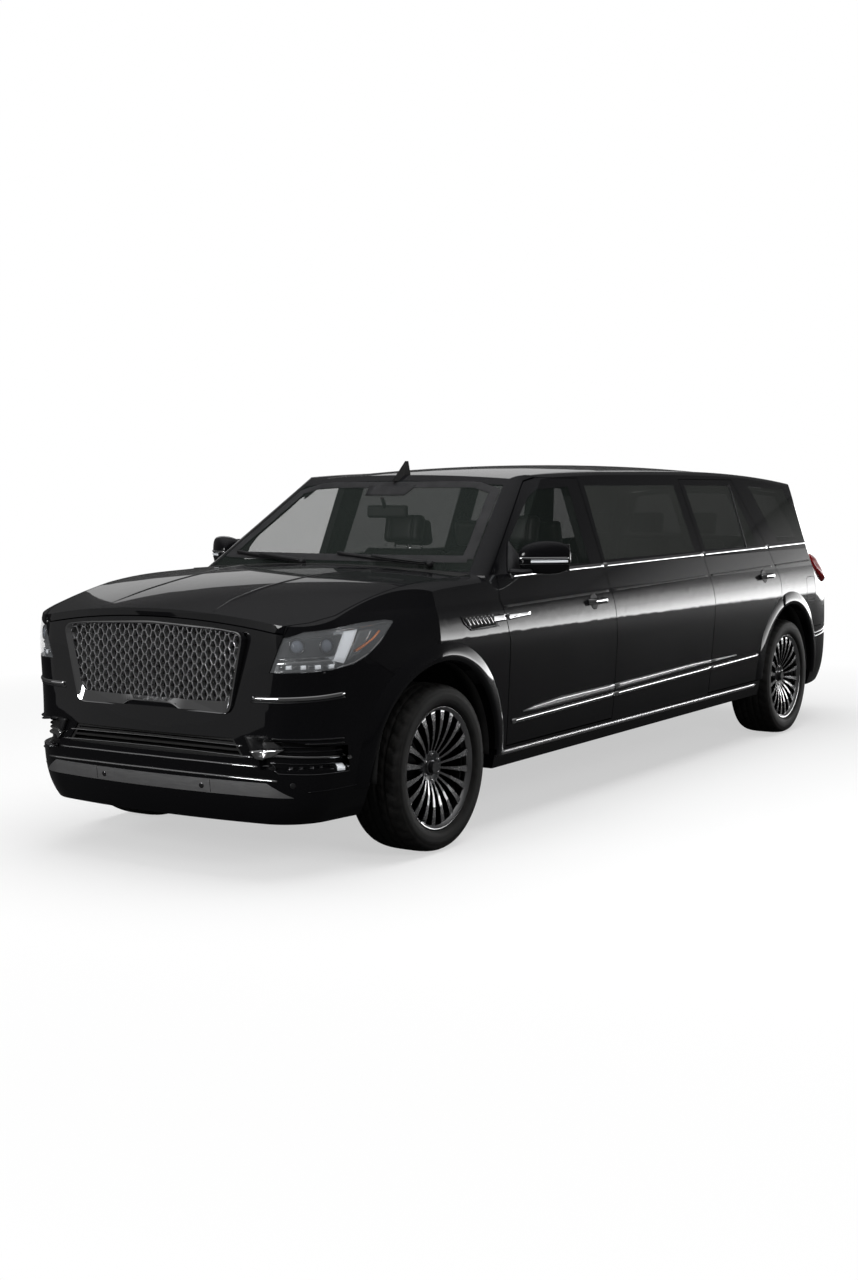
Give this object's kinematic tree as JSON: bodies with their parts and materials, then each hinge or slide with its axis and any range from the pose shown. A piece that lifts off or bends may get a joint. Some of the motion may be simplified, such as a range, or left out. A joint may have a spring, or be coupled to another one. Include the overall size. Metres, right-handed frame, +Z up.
{
  "type": "stretch limousine",
  "caption": "Stretched full-size utility limousine with long cabin, opening doors, hood and liftgate, steered front wheels and free-rolling tyres.",
  "frame": {"origin": "on the ground at mid length on the centre plane", "axes": "+X forward, +Y to the vehicle's left, +Z up"},
  "size_m": [6.8633, 2.38, 1.905],
  "materials": {
    "body_paint": "deep gloss black paint",
    "mirror_paint": "gloss black",
    "chrome_trim": "bright chrome",
    "satin_plate": "satin silver",
    "black_plastic": "grained black plastic",
    "lamp_clear": "clear polished cover",
    "lamp_housing": "dark reflector housing",
    "lamp_red": "deep red lens",
    "glass_clear": "lightly tinted glass",
    "glass_dark": "dark privacy glass",
    "frame_black": "black chassis coating",
    "floor_metal": "dark underbody coating and carpet",
    "cast_metal": "dull cast metal",
    "seat_leather": "black grained leather",
    "wheel_leather": "black stitched leather",
    "tyre_rubber": "black rubber",
    "wheel_silver": "bright machined silver"
  },
  "bodies": {
    "body": {"roof": "body_paint", "front_pillars": "body_paint", "mid_panels": "body_paint", "quarters": "body_paint", "sills": "body_paint", "fenders": "body_paint", "bumper_front": "body_paint", "bumper_rear": "body_paint", "grille": "chrome_trim", "skid_plate": "satin_plate", "cowl": "black_plastic", "intake_grille": "black_plastic", "wheel_liners": "black_plastic", "dashboard": "black_plastic", "antenna_fin": "black_plastic", "headlamp_covers": "lamp_clear", "headlamps": "lamp_housing", "tail_lamps": "lamp_red", "windscreen": "glass_clear", "side_glass": "glass_dark", "chassis_frame": "frame_black", "front_arms": "frame_black", "rear_suspension": "frame_black", "floor_pan": "floor_metal", "engine_block": "cast_metal", "driveline": "cast_metal", "seats_front": "seat_leather", "seat_middle": "seat_leather", "seat_rear": "seat_leather", "steering_wheel": "wheel_leather"},
    "hood": {"hood": "body_paint"},
    "liftgate": {"liftgate": "body_paint", "rear_glass": "glass_dark"},
    "door_front_left": {"door_front_left": "body_paint", "glass_front_left": "glass_clear", "mirror_left": "mirror_paint"},
    "door_rear_left": {"door_rear_left": "body_paint", "glass_rear_left": "glass_dark"},
    "knuckle_left": {"knuckle_left": "frame_black"},
    "wheel_front_left": {"rim_front_left": "wheel_silver", "tyre_front_left": "tyre_rubber"},
    "wheel_rear_left": {"rim_rear_left": "wheel_silver", "tyre_rear_left": "tyre_rubber"},
    "door_front_right": {"door_front_right": "body_paint", "glass_front_right": "glass_clear", "mirror_right": "mirror_paint"},
    "door_rear_right": {"door_rear_right": "body_paint", "glass_rear_right": "glass_dark"},
    "knuckle_right": {"knuckle_right": "frame_black"},
    "wheel_front_right": {"rim_front_right": "wheel_silver", "tyre_front_right": "tyre_rubber"},
    "wheel_rear_right": {"rim_rear_right": "wheel_silver", "tyre_rear_right": "tyre_rubber"}
  },
  "joints": [
    {"name": "hood_hinge", "type": "hinge", "parent": "body", "child": "hood", "pos_m": [2.112, 0, 1.354], "axis": [0, -1, 0], "range_deg": [0, 50]},
    {"name": "liftgate_hinge", "type": "hinge", "parent": "body", "child": "liftgate", "pos_m": [-3.014, 0, 1.754], "axis": [0, 1, 0], "range_deg": [0, 80]},
    {"name": "door_front_left_hinge", "type": "hinge", "parent": "body", "child": "door_front_left", "pos_m": [1.9, 1.024, 0.9], "axis": [0, 0, -1], "range_deg": [0, 65]},
    {"name": "door_rear_left_hinge", "type": "hinge", "parent": "body", "child": "door_rear_left", "pos_m": [-0.728, 1.024, 0.9], "axis": [0, 0, -1], "range_deg": [0, 68]},
    {"name": "door_front_right_hinge", "type": "hinge", "parent": "body", "child": "door_front_right", "pos_m": [1.9, -1.024, 0.9], "axis": [0, 0, 1], "range_deg": [0, 65]},
    {"name": "door_rear_right_hinge", "type": "hinge", "parent": "body", "child": "door_rear_right", "pos_m": [-0.728, -1.024, 0.9], "axis": [0, 0, 1], "range_deg": [0, 68]},
    {"name": "steer_left", "type": "hinge", "parent": "body", "child": "knuckle_left", "pos_m": [2.464, 0.745, 0.4075], "axis": [0, 0, 1], "range_deg": [-34, 34]},
    {"name": "steer_right", "type": "hinge", "parent": "body", "child": "knuckle_right", "pos_m": [2.464, -0.745, 0.4075], "axis": [0, 0, 1], "range_deg": [-34, 34]},
    {"name": "wheel_front_left_spin", "type": "hinge", "parent": "knuckle_left", "child": "wheel_front_left", "pos_m": [2.464, 0.858, 0.4075], "axis": [0, 1, 0], "continuous": true},
    {"name": "wheel_front_right_spin", "type": "hinge", "parent": "knuckle_right", "child": "wheel_front_right", "pos_m": [2.464, -0.858, 0.4075], "axis": [0, 1, 0], "continuous": true},
    {"name": "wheel_rear_left_spin", "type": "hinge", "parent": "body", "child": "wheel_rear_left", "pos_m": [-2.171, 0.858, 0.4075], "axis": [0, 1, 0], "continuous": true},
    {"name": "wheel_rear_right_spin", "type": "hinge", "parent": "body", "child": "wheel_rear_right", "pos_m": [-2.171, -0.858, 0.4075], "axis": [0, 1, 0], "continuous": true}
  ],
  "couplings": [
    {"joint": "steer_right", "follows": "steer_left", "ratio": 1}
  ]
}
